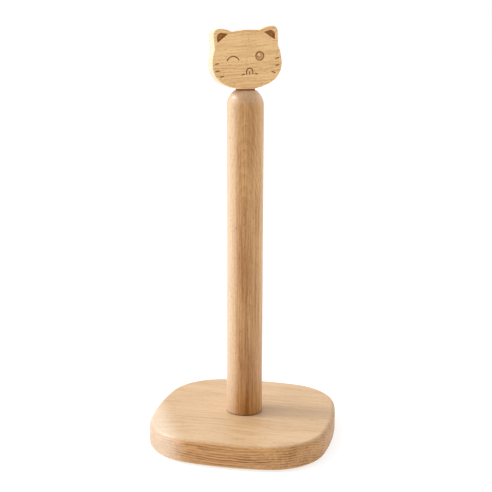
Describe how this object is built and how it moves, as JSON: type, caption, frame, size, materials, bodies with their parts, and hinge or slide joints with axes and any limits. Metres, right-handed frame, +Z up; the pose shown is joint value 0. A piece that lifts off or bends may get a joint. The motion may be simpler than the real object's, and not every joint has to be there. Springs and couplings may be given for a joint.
{
  "type": "paper towel holder",
  "caption": "Free-standing wooden kitchen roll stand: a rounded square board, an upright pole with a domed tip and a lift-off cat face head.",
  "frame": {"origin": "centre of the stand on the surface it rests on, on the pole's axis", "axes": "+Z up along the pole; X and Y along the sides of the board, with the long grain of the board along X and the cat's face turned from -Y towards +X"},
  "size_m": [0.152, 0.152, 0.3402],
  "materials": {
    "board_wood": "oiled beech, satin, grain along X",
    "pole_wood": "oiled beech, satin, grain along the pole",
    "head_wood": "oiled beech, satin, burnt engraving",
    "dowel_wood": "raw beech",
    "neck_leather": "dark brown, dull",
    "insert_brass": "turned",
    "zinc_steel": "zinc plated",
    "pad_rubber": "matt, translucent grey"
  },
  "bodies": {
    "stand": {"base_board": "board_wood", "pole": "pole_wood", "pole_insert": "insert_brass", "base_bolt": "zinc_steel", "base_washer": "zinc_steel", "foot_pad_1": "pad_rubber", "foot_pad_2": "pad_rubber", "foot_pad_3": "pad_rubber", "foot_pad_4": "pad_rubber"},
    "neck": {"neck_ring": "neck_leather"},
    "head": {"head_dowel": "dowel_wood", "cat_head": "head_wood"}
  },
  "joints": [
    {"name": "head_lift", "type": "slide", "parent": "stand", "child": "neck", "axis": [0, 0, 1], "range_m": [0, 0.3]},
    {"name": "head_turn", "type": "hinge", "parent": "neck", "child": "head", "pos_m": [0, 0, 0.29142], "axis": [0, 0, 1], "continuous": true}
  ]
}
